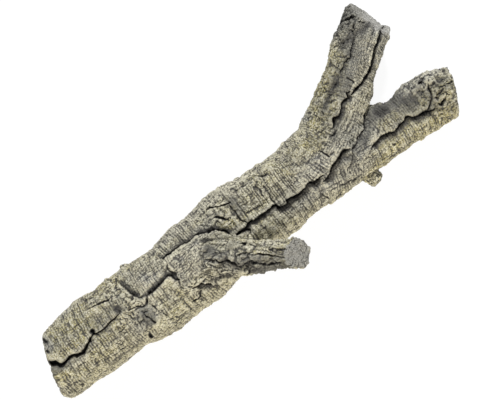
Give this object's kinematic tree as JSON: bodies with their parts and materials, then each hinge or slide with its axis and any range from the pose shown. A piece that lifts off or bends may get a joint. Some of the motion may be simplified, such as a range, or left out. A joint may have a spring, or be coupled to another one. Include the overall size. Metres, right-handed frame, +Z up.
{
  "type": "fallen tree branch",
  "caption": "Fallen tree branch with deeply furrowed, weathered bark: a thick stem that forks into two sawn limbs, with a sawn side stub and a short broken spur.",
  "frame": {"origin": "on the ground under the middle of the whole branch's outline", "axes": "+X along the main stem from the butt to the fork, +Y towards the side that the left limb leans to, +Z up from the ground"},
  "size_m": [0.6322, 0.2406, 0.1391],
  "materials": {
    "bark": "dry weathered bark, matt, grey-beige with yellow patches and near-black furrows",
    "stub_bark": "dry gnarled bark and a rough sawn end, matt, cooler and darker grey"
  },
  "bodies": {
    "root": {"main_stem": "bark", "left_limb": "bark", "right_limb": "bark", "side_stub": "stub_bark", "spur": "bark"}
  },
  "joints": []
}
